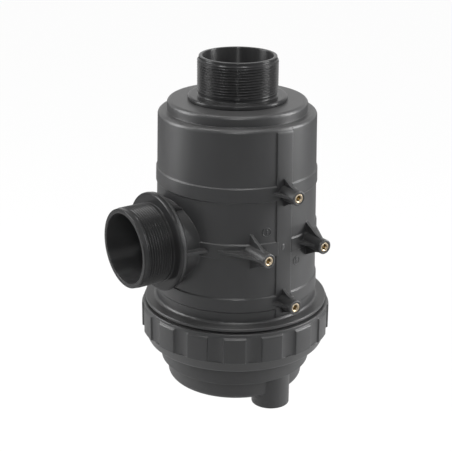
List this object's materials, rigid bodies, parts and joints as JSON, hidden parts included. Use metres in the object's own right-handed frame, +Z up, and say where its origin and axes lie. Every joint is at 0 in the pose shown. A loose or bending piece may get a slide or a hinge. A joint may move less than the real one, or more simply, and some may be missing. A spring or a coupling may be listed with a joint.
{
  "type": "suction filter",
  "caption": "Suction strainer for a pump inlet: black moulded housing with threaded top and side pipe nipples, bracket bosses, castellated ring nut and a screw-on bowl with a drain spout.",
  "frame": {"origin": "centre of the outlet nipple's mouth, on the main axis", "axes": "+Z up the main axis and out of the outlet, -Y out of the bracket bosses, -X out of the inlet"},
  "size_m": [0.1708, 0.1494, 0.264],
  "materials": {
    "housing_plastic": "fine-grained moulded black-grey",
    "nipple_plastic": "glossy black moulding",
    "nut_plastic": "satin moulded black",
    "bowl_plastic": "satin moulded black-grey",
    "plug_plastic": "satin moulded black",
    "slip_plastic": "natural white, smooth",
    "brass": "turned",
    "seal_rubber": "smooth nitrile",
    "cage_plastic": "satin blue moulding",
    "gauze_steel": "fine woven stainless gauze"
  },
  "bodies": {
    "housing": {"housing": "housing_plastic", "outlet_nipple": "nipple_plastic", "outlet_nipple_seal": "seal_rubber", "inlet_nipple": "nipple_plastic", "inlet_nipple_seal": "seal_rubber", "bracket_inserts": "brass"},
    "cartridge": {"cartridge_collar": "cage_plastic", "cartridge_seal": "seal_rubber", "cartridge_cage": "cage_plastic", "cartridge_mesh": "gauze_steel", "cartridge_mesh_seam": "gauze_steel", "cartridge_end_cap": "cage_plastic", "cartridge_foot_seal": "seal_rubber"},
    "bowl": {"bowl": "bowl_plastic", "bowl_seal": "seal_rubber"},
    "ring_nut": {"ring_nut": "nut_plastic", "nut_slip_ring": "slip_plastic"},
    "drain_seal": {"drain_plug_seal": "seal_rubber"},
    "drain_plug": {"drain_plug": "plug_plastic"}
  },
  "joints": [
    {"name": "cartridge_pull", "type": "slide", "parent": "housing", "child": "cartridge", "axis": [0, 0, -1], "range_m": [0, 0.175]},
    {"name": "bowl_drop", "type": "slide", "parent": "cartridge", "child": "bowl", "axis": [0, 0, -1], "range_m": [0, 0.024]},
    {"name": "ring_nut_turn", "type": "hinge", "parent": "bowl", "child": "ring_nut", "pos_m": [0, 0, -0.2], "axis": [0, 0, -1], "range_deg": [0, 1440]},
    {"name": "drain_plug_travel", "type": "slide", "parent": "bowl", "child": "drain_seal", "axis": [0, 0, -1], "range_m": [0, 0.00907]},
    {"name": "drain_plug_turn", "type": "hinge", "parent": "drain_seal", "child": "drain_plug", "pos_m": [0.00398, -0.04292, -0.259], "axis": [0, 0, -1], "range_deg": [0, 1800]}
  ],
  "couplings": [
    {"joint": "bowl_drop", "follows": "ring_nut_turn", "m_per_rad": 0.00095483},
    {"joint": "drain_plug_travel", "follows": "drain_plug_turn", "m_per_rad": 0.00028868}
  ]
}
